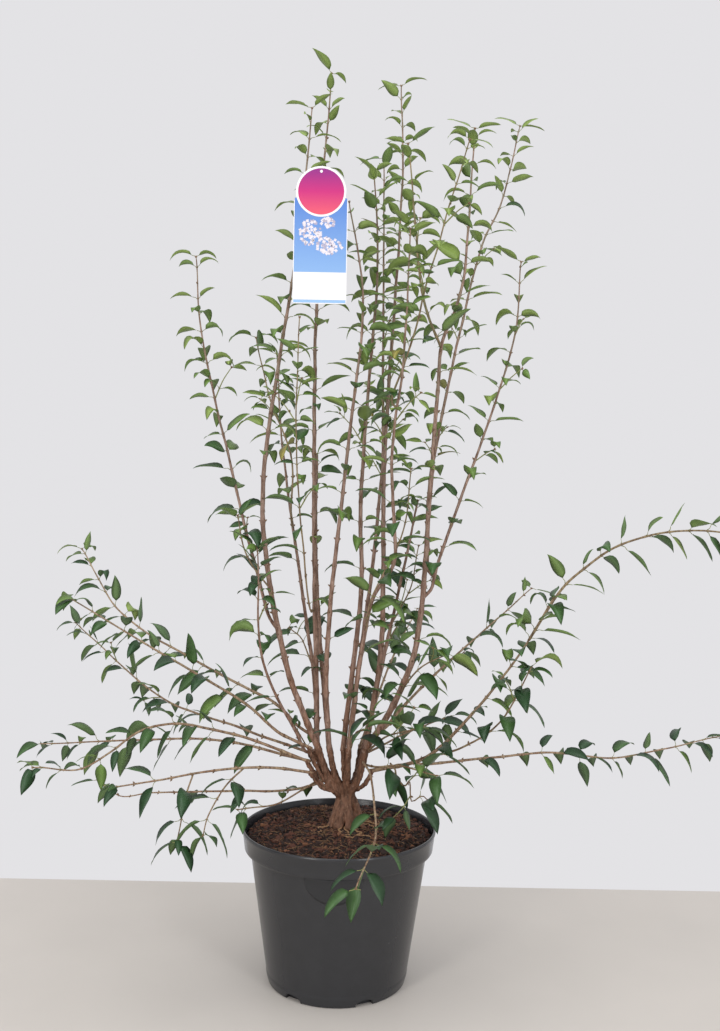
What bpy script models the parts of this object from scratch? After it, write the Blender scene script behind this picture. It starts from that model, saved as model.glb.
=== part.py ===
"""A young white-flowering lilac bush in a nursery pot: pot, soil, woody root crown, stems, side boughs,
one uneven solid for each mass of leaves, and a hanging plant tag.

Metres, +Z up. The origin is the centre of the pot's flat underside. The front is -Y.
Routes and spreads in the tables are in centimetres and radii in millimetres, as they were measured."""

import math
from collections import namedtuple

import bmesh
import bpy
from mathutils import Vector

CM = 0.01
MM = 0.001
GAP = 0.0003

# Pot: a turned nursery pot with a deep rim band and small notches in its foot
POT_SIDES = 40
POT_HEIGHT = 0.249
POT_WALL = 0.0028
POT_FLOOR = 0.015
FOOT_RADIUS = 0.1138
FOOT_ROUND = 0.003
BAND_START = 0.215
BODY_TOP_RADIUS = 0.1455
BAND_LOW_RADIUS = 0.1548
BAND_ROUND = 0.003
RIM_RADIUS = 0.1593
RIM_ROUND = 0.001
NOTCH_COUNT = 6
NOTCH_WIDTH = 0.030
NOTCH_TOP_WIDTH = 0.020
NOTCH_HEIGHT = 0.011
NOTCH_SHOULDER = 0.0066
NOTCH_DEPTH = 0.012
NOTCH_TURN = math.radians(-66)
CUTTER_MARGIN = 0.010

# Soil: a low mound, with a small level place in its middle for the root crown
SOIL_EDGE_HEIGHT = 0.236
SOIL_SHOULDER_RADIUS = 0.100
SOIL_SHOULDER_HEIGHT = 0.2445
SOIL_LEVEL_RADIUS = 0.052
SOIL_LEVEL_HEIGHT = 0.250

# Root crown: flares on the soil, narrows to a neck and widens into the head that the stems rise from
CROWN_SIDES = 14
CROWN_LOBES = 5
CROWN_LOBE_TURN = 0.7
# height, middle in x, half width in x, half width in y, all in centimetres, and depth of the lobes
CROWN_PROFILE = (
    (25.03, 1.3, 4.1, 3.9, 0.20),
    (26.2, 1.3, 3.1, 2.9, 0.16),
    (28.5, 1.3, 2.3, 2.1, 0.09),
    (31.0, 1.2, 2.1, 1.9, 0.06),
    (33.5, 0.9, 2.7, 2.1, 0.06),
    (35.5, 0.5, 3.8, 2.4, 0.06),
    (37.5, 0.1, 4.9, 2.9, 0.05),
)
HEAD = 37.53

# Tag: a thin card with a round head, hung by a short strap
TAG_MIDDLE_X = -0.0435
TAG_FRONT_Y = -0.1120
TAG_THICK = 0.0009
TAG_LOW = 1.0880
TAG_SHOULDER = 1.2450
TAG_HALF_WIDTH = 0.0412
TAG_HEAD_HEIGHT = 1.2590
TAG_HEAD_RADIUS = 0.0385
TAG_HEAD_STEPS = 18
STRAP_START_HEIGHT = 1.2906
STRAP_HALF_WIDTH = 0.0017
STRAP_THICK = 0.0010
STRAP_RISE = 0.007
STRAP_BACK = 0.0125
STRAP_LEFT = 0.0075
STRAP_STEPS = 8

# Limbs are six-sided and masses of leaves ten-sided lofts round a smooth route
LIMB_SIDES = 6
LIMB_RING_SPACING = 0.062
LIMB_LEAST_RINGS = 6
ENTRY_GAP = 0.002
LEAF_SIDES = 10
LEAF_RING_SPACING = 0.055
LEAF_LEAST_RINGS = 7
LEAF_MOST_RINGS = 10
LEAF_BEYOND_TIP = 0.012
ROUTE_STEPS = 200

# How full a mass is along its route, and its two uneven ripples: depth, lobes round it and twist along it
LEAF_FULL_FROM = 0.08
LEAF_FULL_TO = 0.94
LEAF_BLUNTNESS = 0.6
LEAF_RIPPLES = ((0.09, 2, 9), (0.07, 3, 17))
LEAF_RIPPLE_STEP = 2.1

Limb = namedtuple("Limb", "name foot_mm end_mm bare leafy spread_cm")
Mass = namedtuple("Mass", "name route spread_cm")

# Each limb: radius at its foot and where it enters its leaves, the bare route up to there, the leafy route
# that goes on to its tip, and half the spread of its leaves across and deep. A limb with no leafy route
# enters the leaves of another or ends bare.
LIMBS = (
    Limb("stem_left_thick", 5.2, 3.2,
         ((-3.4, -1.4, HEAD), (-8.5, -1.9, 50), (-12.6, -3, 70), (-12.8, -3.8, 86.5)),
         ((-8, -5.8, 120), (-6.3, -6.2, 139)), (3.1, 2.9)),
    Limb("stem_left_outer", 3.0, 2.2, ((-11.2, -1.3, 57), (-14.8, -0.4, 68.5)),
         ((-24, 3.5, 103), (-25.8, 5, 118)), (4.2, 4.2)),
    Limb("stem_left_low", 2.8, 2.0, ((-5.7, -0.5, 37.2), (-12.6, -5.4, 53)),
         ((-13.2, -10, 70),), (4.4, 3.8)),
    Limb("stem_left_fork", 3.6, 2.2, ((-3.9, 1.7, HEAD), (-4.8, 1.9, 50), (-11, 12.2, 85)),
         ((-13.2, 19, 104),), (4.0, 4.0)),
    Limb("stem_tallest", 4.8, 3.0, ((-3.9, 0.1, HEAD), (-5.3, 1.5, 87.5)),
         ((-5.2, 3, 122), (-3.6, 2.4, 148)), (3.2, 4.0)),
    Limb("stem_behind_tag", 4.6, 2.8, ((-1.9, 0.7, HEAD), (-4.6, 4.2, 64), (-5.1, 5.2, 86.5)), (), None),
    Limb("stem_front", 4.4, 2.6, ((-1.8, -1.3, HEAD), (-2.5, -2.8, 53), (-0.3, -5.4, 81)),
         ((2.4, -7.6, 108), (0.2, -7.7, 124)), (2.9, 2.9)),
    Limb("stem_middle", 4.6, 2.6, ((0.4, -0.8, HEAD), (2.9, -1.3, 64), (2.6, -1, 81)),
         ((4.6, -1.4, 116), (3.8, -2, 131)), (3.0, 2.9)),
    Limb("stem_back", 4.0, 2.6, ((1.3, 1.5, HEAD), (5.9, 9.6, 79)),
         ((6.2, 13, 97), (5.6, 17, 139)), (3.5, 3.7)),
    Limb("stem_centre_tall", 4.8, 3.0, ((4, 0.3, HEAD), (6.5, 1.2, 55.5), (6.5, 4, 86.5)),
         ((8.6, 7, 131), (8.2, 7.5, 148.3)), (3.2, 3.2)),
    Limb("stem_front_right", 3.8, 2.2, ((1.3, -2.2, HEAD), (4.2, -4.4, 61), (8, -6, 69)),
         ((7.3, -9.5, 86), (8.8, -12.8, 102), (9.2, -15, 118)), (3.2, 3.3)),
    Limb("stem_right_thin", 3.6, 2.0, ((3.8, 1.9, HEAD), (6.5, 4.1, 50), (12.4, 6.1, 79)), (), None),
    Limb("stem_right_thick", 5.4, 3.2,
         ((3.8, -1.4, HEAD), (9.3, -1.5, 47), (12.6, -2, 60), (15.2, -4, 104.5)),
         ((18.2, -3, 112), (19.9, -1.6, 138)), (3.5, 4.0)),
    Limb("stem_right_back", 3.2, 2.4, ((13.7, -0.9, 68), (14.6, 5.2, 84.5)),
         ((22, 13, 120), (26.9, 16, 133), (30, 18.8, 146)), (3.9, 4.1)),
    Limb("stem_right_outer", 2.8, 2.0, ((14.3, -1.6, 64.5), (16.4, -1, 72)),
         ((26.8, 1.2, 103), (28.3, 2, 117.5)), (4.0, 4.2)),
    Limb("side_left_high", 2.6, 1.8, ((-5.1, 1.7, 38.7), (-10.9, 3, 44.3), (-17.5, 5, 47.2)),
         ((-38, 12, 57), (-46.8, 16, 68)), (4.4, 3.6)),
    Limb("side_left_middle", 2.6, 1.8, ((-4.6, -2.3, 38.2), (-10.5, -2.8, 41.2), (-16.8, -3.7, 46.4)),
         ((-41, -10, 62),), (4.4, 3.6)),
    Limb("side_left_back", 2.4, 1.6, ((-4.9, 2.7, 36.2), (-20.5, 10.6, 39.3)),
         ((-34, 17.5, 42.8), (-50.6, 27, 53.5)), (4.2, 3.2)),
    Limb("side_left_front", 2.6, 1.8, ((-5, -2.2, 36), (-16, -4.8, 40.6)),
         ((-27, -8.5, 43.2), (-33.2, -10.9, 41.1), (-38, -13, 37.3), (-44.6, -15.5, 37.8)), (4.2, 3.4)),
    Limb("side_left_long", 2.4, 1.6, ((-4.9, 0.6, 35.4), (-23.5, 4.4, 37.8)),
         ((-51, 9, 35.4),), (4.0, 3.2)),
    Limb("side_left_low", 2.4, 1.3, ((-4.4, -2.9, 34.4), (-14.7, -7.5, 36.3), (-33, -17.3, 35.6)), (), None),
    Limb("side_left_bare", 2.4, 0.9,
         ((-1.7, 1.7, 32.2), (-9.1, 5.7, 29.1), (-31, 14.4, 25.8), (-40.6, 18, 23.9), (-45.2, 20, 26.2)),
         (), None),
    Limb("side_right_back", 2.8, 1.8, ((5.3, 2.4, 38.4), (14.9, 10.1, 47.4)),
         ((34.2, 24, 62),), (4.2, 3.6)),
    Limb("side_right_arc", 3.4, 2.4, ((4.7, -1.3, 34.4), (13.4, -2.4, 36.8), (18.6, -3.8, 41.8)),
         ((27, -7, 53.2), (32, -10, 63)), (4.0, 4.2)),
    Limb("side_right_low", 2.2, 1.4, ((13.9, -1.3, 35.7), (36, 6.4, 36.2)),
         ((48, 10, 34.5), (68.4, 15.8, 37.4)), (4.2, 3.8)),
    Limb("side_back", 2.6, 1.8, ((3.1, 3.9, 36.9), (6.4, 14, 44.2)),
         ((9.6, 25.5, 50.1), (13.9, 36, 56.5)), (4.2, 3.6)),
    Limb("side_front", 1.9, 1.3, ((3.7, -3.4, 36.4), (5, -8.2, 35.2), (5.6, -20, 30.2)),
         ((3.2, -30.6, 27),), (4.0, 2.6)),
)

# Masses of leaves that no limb of the table leads into from its own end
MASSES = (
    Mass("leaves_fork_left", ((13, -6.3, 107.5), (11.2, -7.2, 114), (9.1, -9.8, 132.5)), (2.9, 3.1)),
    Mass("leaves_arc_outer", ((33.4, -10.7, 65), (40, -14, 71.8), (49.8, -18.3, 75.3), (62.5, -23, 74.2)),
         (3.8, 3.4)),
    Mass("leaves_low_right", ((9.6, -9.3, 39.6), (10.6, -9, 35), (10, -8.6, 30.2)), (4.0, 3.9)),
)
# Routes that run more across than up
LYING_MASSES = ("leaves_arc_outer",)


def clear_scene():
    for thing in list(bpy.data.objects):
        bpy.data.objects.remove(thing)


def material(name, colour, roughness):
    made = bpy.data.materials.new(name)
    made.use_nodes = True
    shader = made.node_tree.nodes["Principled BSDF"]
    shader.inputs["Base Color"].default_value = (*colour, 1.0)
    shader.inputs["Roughness"].default_value = roughness
    shader.inputs["Metallic"].default_value = 0.0
    return made


def finish(name, bm, surface, smooth_under=None):
    """Makes one named object from a closed bmesh. Edges under smooth_under degrees are shaded smooth."""
    bmesh.ops.recalc_face_normals(bm, faces=bm.faces)
    mesh = bpy.data.meshes.new(name)
    bm.to_mesh(mesh)
    bm.free()
    mesh.materials.append(surface)
    if smooth_under:
        mesh.shade_smooth()
        mesh.set_sharp_from_angle(angle=math.radians(smooth_under))
    thing = bpy.data.objects.new(name, mesh)
    bpy.context.scene.collection.objects.link(thing)
    return thing


def loft(rings, start=None, end=None):
    """Joins rings of equally many points into one closed skin. A given start or end point closes that side
    as a cone, and otherwise the ring is filled flat."""
    bm = bmesh.new()
    rows = [[bm.verts.new(point) for point in ring] for ring in rings]
    count = len(rows[0])
    for low, high in zip(rows, rows[1:]):
        for i in range(count):
            j = (i + 1) % count
            bm.faces.new((low[i], low[j], high[j], high[i]))
    for row, point in ((rows[0], start), (rows[-1], end)):
        if point is None:
            bm.faces.new(row)
        else:
            apex = bm.verts.new(point)
            for i in range(count):
                bm.faces.new((row[i], row[(i + 1) % count], apex))
    return bm


def turns(count):
    return [2 * math.pi * i / count for i in range(count)]


def turned(profile, sides):
    """Turns a profile of (radius, height) points about Z. Its first and last points lie on the axis."""
    rings = []
    for radius, height in profile[1:-1]:
        rings.append([(radius * math.cos(a), radius * math.sin(a), height) for a in turns(sides)])
    return loft(rings, start=(0, 0, profile[0][1]), end=(0, 0, profile[-1][1]))


def body_radius(height):
    """Outer radius of the pot's tapering body at a height."""
    return FOOT_RADIUS + (BODY_TOP_RADIUS - FOOT_RADIUS) * height / BAND_START


def build_pot(surface):
    outer = [
        (0, 0),
        (FOOT_RADIUS - FOOT_ROUND, 0),
        (body_radius(FOOT_ROUND), FOOT_ROUND),
        (body_radius(BAND_START - BAND_ROUND), BAND_START - BAND_ROUND),
        (BAND_LOW_RADIUS - RIM_ROUND, BAND_START),
        (BAND_LOW_RADIUS, BAND_START + BAND_ROUND),
        (RIM_RADIUS, POT_HEIGHT - RIM_ROUND),
        (RIM_RADIUS - RIM_ROUND, POT_HEIGHT),
    ]
    inner = [
        (RIM_RADIUS - POT_WALL, POT_HEIGHT),
        (body_radius(BAND_START) - POT_WALL, BAND_START),
        (body_radius(POT_FLOOR) - POT_WALL, POT_FLOOR),
        (0, POT_FLOOR),
    ]
    pot = finish("pot", turned(outer + inner, POT_SIDES), surface, smooth_under=35)
    for number, turn in enumerate(turns(NOTCH_COUNT)):
        cut(pot, notch_cutter(number, NOTCH_TURN + turn))


def notch_cutter(number, turn):
    """A block across the pot's foot edge, narrower at its top."""
    half_deep = NOTCH_DEPTH / 2 + CUTTER_MARGIN
    middle = FOOT_RADIUS - NOTCH_DEPTH + half_deep
    out = Vector((math.cos(turn), math.sin(turn), 0))
    along = Vector((-math.sin(turn), math.cos(turn), 0))
    steps = ((-CUTTER_MARGIN, NOTCH_WIDTH), (NOTCH_SHOULDER, NOTCH_WIDTH), (NOTCH_HEIGHT, NOTCH_TOP_WIDTH))
    rings = []
    for height, width in steps:
        up = Vector((0, 0, height))
        inner = out * (middle - half_deep) + up
        outer = out * (middle + half_deep) + up
        side = along * (width / 2)
        rings.append([inner - side, outer - side, outer + side, inner + side])
    cutter = finish(f"notch_cutter_{number}", loft(rings), None)
    cutter.hide_render = True
    cutter.display_type = "WIRE"
    return cutter


def cut(thing, cutter):
    step = thing.modifiers.new(cutter.name, "BOOLEAN")
    step.operation = "DIFFERENCE"
    step.object = cutter


def build_soil(surface):
    """Fills the pot's inside, a little clear of its wall and floor, up to a low mound."""
    clear = POT_WALL + 2 * GAP
    low = POT_FLOOR + GAP
    inside = body_radius(BAND_START)
    band_slope = (RIM_RADIUS - inside) / (POT_HEIGHT - BAND_START)
    profile = [
        (0, low),
        (body_radius(low) - clear, low),
        (inside - clear, BAND_START),
        (inside - clear + band_slope * (SOIL_EDGE_HEIGHT - BAND_START), SOIL_EDGE_HEIGHT),
        (SOIL_SHOULDER_RADIUS, SOIL_SHOULDER_HEIGHT),
        (SOIL_LEVEL_RADIUS, SOIL_LEVEL_HEIGHT),
        (0, SOIL_LEVEL_HEIGHT),
    ]
    finish("soil", turned(profile, POT_SIDES), surface)


def build_root_crown(surface):
    rings = []
    for height, middle, wide, deep, lobe in CROWN_PROFILE:
        ring = []
        for a in turns(CROWN_SIDES):
            swell = 1 + lobe * math.cos(CROWN_LOBES * a + CROWN_LOBE_TURN)
            x = middle + wide * swell * math.cos(a)
            y = deep * swell * math.sin(a)
            ring.append((x * CM, y * CM, height * CM))
        rings.append(ring)
    finish("root_crown", loft(rings), surface, smooth_under=60)


def smooth_route(points):
    """A function of 0 to len(points) - 1 that runs smoothly through points in centimetres."""
    knots = [Vector(p) * CM for p in points]
    knots = [2 * knots[0] - knots[1], *knots, 2 * knots[-1] - knots[-2]]

    def at(place):
        i = min(int(place), len(points) - 2)
        t = place - i
        a, b, c, d = knots[i : i + 4]
        curve = (2 * a - 5 * b + 4 * c - d) * t**2 + (3 * b - a - 3 * c + d) * t**3
        return b + 0.5 * ((c - a) * t + curve)

    return at


def stations(at, first, last, spacing, least, most):
    """Spots from first to last on a route, evenly far apart, with the direction and the share at each."""
    spots = [at(first + (last - first) * i / ROUTE_STEPS) for i in range(ROUTE_STEPS + 1)]
    run = [0.0]
    for a, b in zip(spots, spots[1:]):
        run.append(run[-1] + (b - a).length)
    count = max(least, min(most, round(run[-1] / spacing) + 1))
    found = []
    for k in range(count):
        share = k / (count - 1)
        i = min(range(ROUTE_STEPS + 1), key=lambda n: abs(run[n] - run[-1] * share))
        ahead = spots[min(i + 1, ROUTE_STEPS)] - spots[max(i - 1, 0)]
        found.append((spots[i], ahead.normalized(), share))
    return found


def ring_at(spot, ahead, upright, radii):
    """A ring square to a route. Its first radius of each pair lies across, level where it can be."""
    if upright:
        across = (Vector((1, 0, 0)) - ahead * ahead.x).normalized()
    else:
        across = Vector((0, 0, 1)).cross(ahead).normalized()
    deep = ahead.cross(across)
    ring = []
    for a, (w, d) in zip(turns(len(radii)), radii):
        ring.append(spot + across * (w * math.cos(a)) + deep * (d * math.sin(a)))
    return ring


def build_limb(limb, route, upright, surface):
    """One tapering limb from its foot to where it enters its leaves."""
    at = smooth_route(route)
    last = len(limb.bare) - 1
    rings = []
    for spot, ahead, share in stations(at, 0, last, LIMB_RING_SPACING, LIMB_LEAST_RINGS, ROUTE_STEPS):
        if share == 0 and upright:
            ahead = Vector((0, 0, 1))
        if share == 1:
            spot = spot - ahead * ENTRY_GAP
        radius = (limb.foot_mm + (limb.end_mm - limb.foot_mm) * share) * MM
        rings.append(ring_at(spot, ahead, upright, [(radius, radius)] * LIMB_SIDES))
    finish(limb.name, loft(rings), surface, smooth_under=70)


def build_mass(name, route, first, upright, spread_cm, number, surface):
    """One closed, uneven mass of leaves round a route from its first point on: part full where it starts
    and slim at its tip. The number sets where it ripples."""
    at = smooth_route(route)
    found = stations(at, first, len(route) - 1, LEAF_RING_SPACING, LEAF_LEAST_RINGS, LEAF_MOST_RINGS)
    wide, deep = (half * CM for half in spread_cm)
    rings = []
    for spot, ahead, share in found:
        place = LEAF_FULL_FROM + (LEAF_FULL_TO - LEAF_FULL_FROM) * share
        full = math.sin(math.pi * place) ** LEAF_BLUNTNESS
        radii = []
        for a in turns(LEAF_SIDES):
            size = full
            for depth, lobes, twist in LEAF_RIPPLES:
                size += full * depth * math.sin(lobes * a + twist * share + LEAF_RIPPLE_STEP * lobes * number)
            radii.append((wide * size, deep * size))
        rings.append(ring_at(spot, ahead, upright, radii))
    tip, ahead, _ = found[-1]
    finish(name, loft(rings, end=tip + ahead * LEAF_BEYOND_TIP), surface)


def build_plant(bark, leaf):
    for number, limb in enumerate(LIMBS):
        route = limb.bare + limb.leafy
        first = len(limb.bare) - 1
        upright = limb.name.startswith("stem")
        build_limb(limb, route, upright, bark)
        if limb.leafy:
            build_mass("leaves_" + limb.name, route, first, upright, limb.spread_cm, number, leaf)
    for number, mass in enumerate(MASSES, len(LIMBS)):
        build_mass(mass.name, mass.route, 0, mass.name not in LYING_MASSES, mass.spread_cm, number, leaf)


def tag_outline():
    """Card corners and the arc of the round head, in (x, z), once round from the low left corner."""
    outline = [(-TAG_HALF_WIDTH, TAG_LOW), (TAG_HALF_WIDTH, TAG_LOW), (TAG_HALF_WIDTH, TAG_SHOULDER)]
    start = math.asin((TAG_SHOULDER - TAG_HEAD_HEIGHT) / TAG_HEAD_RADIUS)
    sweep = math.pi - 2 * start
    for i in range(TAG_HEAD_STEPS + 1):
        turn = start + sweep * i / TAG_HEAD_STEPS
        outline.append((TAG_HEAD_RADIUS * math.cos(turn), TAG_HEAD_HEIGHT + TAG_HEAD_RADIUS * math.sin(turn)))
    outline.append((-TAG_HALF_WIDTH, TAG_SHOULDER))
    return outline


def build_tag(surface):
    front = [(TAG_MIDDLE_X + x, TAG_FRONT_Y, z) for x, z in tag_outline()]
    back = [(x, y + TAG_THICK, z) for x, y, z in front]
    finish("plant_tag", loft([front, back]), surface)


def build_strap(surface):
    """A short flat strap that rises from behind the tag's head and bends back to the leaves."""
    start = Vector((TAG_MIDDLE_X, TAG_FRONT_Y + TAG_THICK + GAP, STRAP_START_HEIGHT))
    side = Vector((STRAP_HALF_WIDTH, 0, 0))
    rings = []
    for i in range(STRAP_STEPS + 1):
        turn = math.pi / 2 * i / STRAP_STEPS
        bend = 1 - math.cos(turn)
        spot = start + Vector((-STRAP_LEFT * bend, STRAP_BACK * bend, STRAP_RISE * math.sin(turn)))
        thick = Vector((0, STRAP_THICK * math.cos(turn), -STRAP_THICK * math.sin(turn)))
        rings.append([spot - side, spot + side, spot + side + thick, spot - side + thick])
    finish("tag_tie", loft(rings), surface)


clear_scene()
build_pot(material("pot_plastic", (0.030, 0.032, 0.036), 0.42))
build_soil(material("potting_soil", (0.085, 0.042, 0.022), 0.95))
build_root_crown(material("crown_bark", (0.19, 0.105, 0.06), 0.9))
build_plant(material("bark", (0.20, 0.115, 0.075), 0.8), material("foliage", (0.10, 0.19, 0.045), 0.6))
build_tag(material("tag_card", (0.36, 0.52, 0.86), 0.4))
build_strap(material("tag_strap", (0.85, 0.85, 0.85), 0.4))
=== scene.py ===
"""Looks of a young lilac bush in a nursery pot. Stems and side boughs follow the middle lines of the CAD
limbs and masses, and twigs and leaves grow on them by a seeded rule. Metres, +Z up, the front is -Y."""

import math
import random

import bmesh
import bpy
from mathutils import Matrix, Vector, noise


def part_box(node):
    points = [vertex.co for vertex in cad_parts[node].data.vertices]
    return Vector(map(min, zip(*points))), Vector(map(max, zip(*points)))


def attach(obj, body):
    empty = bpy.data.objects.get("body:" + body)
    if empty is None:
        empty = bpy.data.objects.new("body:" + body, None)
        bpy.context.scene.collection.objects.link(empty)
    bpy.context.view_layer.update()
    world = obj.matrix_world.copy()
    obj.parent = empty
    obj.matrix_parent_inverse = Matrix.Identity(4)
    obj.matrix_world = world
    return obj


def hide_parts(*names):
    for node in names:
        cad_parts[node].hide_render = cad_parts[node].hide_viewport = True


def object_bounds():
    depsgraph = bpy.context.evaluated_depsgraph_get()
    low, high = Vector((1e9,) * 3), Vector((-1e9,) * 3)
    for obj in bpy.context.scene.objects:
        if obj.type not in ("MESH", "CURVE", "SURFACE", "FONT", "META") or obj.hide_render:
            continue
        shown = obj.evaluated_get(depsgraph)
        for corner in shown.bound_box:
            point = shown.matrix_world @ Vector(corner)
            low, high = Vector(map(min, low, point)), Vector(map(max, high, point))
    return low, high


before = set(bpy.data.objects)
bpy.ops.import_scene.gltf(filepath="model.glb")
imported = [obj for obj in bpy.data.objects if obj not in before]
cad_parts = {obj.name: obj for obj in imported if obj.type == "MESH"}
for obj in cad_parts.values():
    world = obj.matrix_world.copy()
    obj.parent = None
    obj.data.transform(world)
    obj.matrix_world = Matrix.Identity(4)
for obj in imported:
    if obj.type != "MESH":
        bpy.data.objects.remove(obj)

CAD_BOX = [list(corner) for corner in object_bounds()]

CM = 0.01
MM = 0.001
TURN = 2 * math.pi
UP = Vector((0, 0, 1))
BODY = "root"

# Seeds
PLANT_SEED = 41
WOBBLE_SEED = 11
CROWN_SEED = 7
SOIL_SEED = 19
TAG_SEED = 5

# Camera: a long view from the front, a little tilted and rolled as the photograph is
CAMERA_PLACE = Vector((0.025, -1.693, 0.792))
CAMERA_LENS = 35.93
CAMERA_SENSOR = 36.0
CAMERA_PITCH = 0.0172
CAMERA_ROLL = 0.0185

# Limbs
HEART = Vector((0, 0, 0.375))
LIMB_SIDES = 6
MASS_SIDES = 10
LIMBS = sorted(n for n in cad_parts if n.startswith(("stem_", "side_")))
ROUTE_STEPS = 24
BARK_STEP = 0.007
BARK_SIDES = 10
BARK_RELIEF = 0.12
RELIEF_SCALE = 160
RELIEF_SPREAD = 0.004
THIN_SIDES = 6
THIN_RADIUS = 0.002
TIP_RADIUS = 0.0009
TAPER = 0.85
NODE_SWELL = 0.22
NODE_REACH = 0.0035
WOBBLE = 0.0016
WOBBLE_PITCH = 14
WOBBLE_FADE = 0.08
JOIN_AT = 0.014
JOIN_FROM = 0.05
CROWN_MARGIN = 0.008

# Leaves
LEAF_LENGTH = 0.053
LEAF_RATIO = 0.47
LEAF_STEPS = 8
LEAF_THICK = 0.0003
LEAF_FULLNESS = 0.366
RIPPLE = 0.06
TIP_BEND = 0.8
PETIOLE = 0.009
PETIOLE_RADII = (0.0007, 0.0005, 0.0005)
BUD_SHAPE = (0.3, 0.34, 0.08)
PROUD = (0.043, 0.027, 0.045)

# Growth
NODE_GAP = 0.045
LEAFY_CHANCE = 0.93
EDGE_CHANCE = 0.45
EDGE_REACH = 0.08
BARE_CHANCE = 0.12
SHOOT_CHANCE = 0.10
TIP_SHARE = 0.20
END_GAP = 0.004
FLAT_BELOW = 0.75
YELLOW_SHARE = 0.012
# Painted light and shade: the lightness score above which a leaf takes each tint
TINT_STEPS = ((0.72, "light"), (0.28, "mid"), (-0.05, "dark"))

# Tag
TAG_X = -0.0435
TAG_FRONT = -0.1120
TAG_LOW = 1.0880
TAG_SHOULDER = 1.2450
TAG_HALF = 0.0412
TAG_THICK = 0.0009
TAG_CORNER = 0.003
TAG_BOW = 0.00024
TAG_SET = 0.0003
HEAD_Z = 1.2590
HEAD_RADIUS = 0.0385
HEAD_FIELD_RADIUS = 0.0352
HEAD_FADE = 0.034
HOLE_RADIUS = 0.0022
HOLE_Z = HEAD_Z + 0.0305

# Bark colours low, half way up and high on the plant, and the colour of its specks
BARKS = {
    "bark_upright": ((138, 94, 68), (134, 110, 98), (122, 116, 92), (182, 164, 144)),
    "bark_side": ((142, 108, 84), (140, 122, 98), (130, 128, 90), (180, 162, 140)),
    "bark_twig": ((136, 104, 80), (128, 112, 84), (120, 124, 82), (170, 154, 130)),
    "bark_crown": ((112, 76, 54), (104, 72, 54), (100, 80, 62), (168, 140, 112)),
}
BARK_LOW = 0.30
BARK_HIGH = 1.35

# Leaf colours above and below. The light, mid, dark and deep tints are painted light and painted shade, dealt
# by where a leaf sits; the yellow tint is the colour of yellowed leaves.
LEAF_COLOURS = {
    "light": ((128, 152, 72), (122, 144, 74)),
    "mid": ((100, 130, 60), (106, 132, 70)),
    "dark": ((62, 96, 48), (84, 110, 62)),
    "deep": ((44, 76, 44), (78, 104, 66)),
    "yellow": ((140, 132, 62), (128, 128, 72)),
}


# Materials


def linear(colour):
    """An sRGB colour of 0 to 255 as linear values."""
    return tuple(((c / 255 + 0.055) / 1.055) ** 2.4 if c > 10 else c / 255 / 12.92 for c in colour)


def shade(colour, share):
    """The same with its brightness scaled by a share."""
    return tuple(min(1, c * share) for c in linear(colour))


class Recipe:
    """A node material: a Principled shader whose colour, roughness and bump come from node patterns."""

    def __init__(self, name, roughness=0.6):
        self.material = bpy.data.materials.new(name)
        self.material.use_nodes = True
        self.tree = self.material.node_tree
        self.shader = self.tree.nodes["Principled BSDF"]
        self.shader.inputs["Roughness"].default_value = roughness
        self.place = self.tree.nodes.new("ShaderNodeTexCoord").outputs["Object"]

    def link(self, start, end):
        self.tree.links.new(start, end)

    def node(self, kind, inputs, **settings):
        """The outputs of a new node, with each of its inputs linked to a socket or given a value."""
        made = self.tree.nodes.new(kind)
        for key, value in settings.items():
            setattr(made, key, value)
        for key, value in inputs.items():
            if isinstance(value, bpy.types.NodeSocket):
                self.link(value, made.inputs[key])
            else:
                made.inputs[key].default_value = value
        return made.outputs

    def stretched(self, scale):
        return self.node("ShaderNodeMapping", {"Vector": self.place, "Scale": scale})["Vector"]

    def noise(self, scale, detail=4.0, stretch=(1, 1, 1)):
        inputs = {"Vector": self.stretched(stretch), "Scale": scale, "Detail": detail, "Roughness": 0.55}
        return self.node("ShaderNodeTexNoise", inputs)["Fac"]

    def cells(self, scale, stretch=(1, 1, 1)):
        inputs = {"Vector": self.stretched(stretch), "Scale": scale}
        return self.node("ShaderNodeTexVoronoi", inputs)["Distance"]

    def height(self, low, high):
        """0 at the low height to 1 at the high one."""
        return self.range(self.node("ShaderNodeSeparateXYZ", {0: self.place})["Z"], low, high, 0, 1)

    def range(self, value, low, high, to_low, to_high):
        inputs = {"Value": value, "From Min": low, "From Max": high, "To Min": to_low, "To Max": to_high}
        return self.node("ShaderNodeMapRange", inputs)["Result"]

    def ramp(self, value, stops):
        made = self.node("ShaderNodeValToRGB", {"Fac": value})["Color"]
        ramp = made.node.color_ramp
        while len(ramp.elements) < len(stops):
            ramp.elements.new(0.5)
        for element, (place, colour) in zip(ramp.elements, stops):
            element.position = place
            element.color = (*colour, 1.0)
        return made

    def mix(self, share, a, b):
        """Two colours mixed by a share. Each is a socket or a linear colour."""
        a, b = (c if isinstance(c, bpy.types.NodeSocket) else (*c, 1.0) for c in (a, b))
        return self.node("ShaderNodeMix", {"Factor": share, "A": a, "B": b}, data_type="RGBA")["Result"]

    def colour(self, value):
        self.link(value, self.shader.inputs["Base Color"])

    def rough(self, value, low, high):
        self.link(self.range(value, 0, 1, low, high), self.shader.inputs["Roughness"])

    def bump(self, value, depth):
        made = self.node("ShaderNodeBump", {"Height": value, "Distance": depth})
        self.link(made["Normal"], self.shader.inputs["Normal"])


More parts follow.
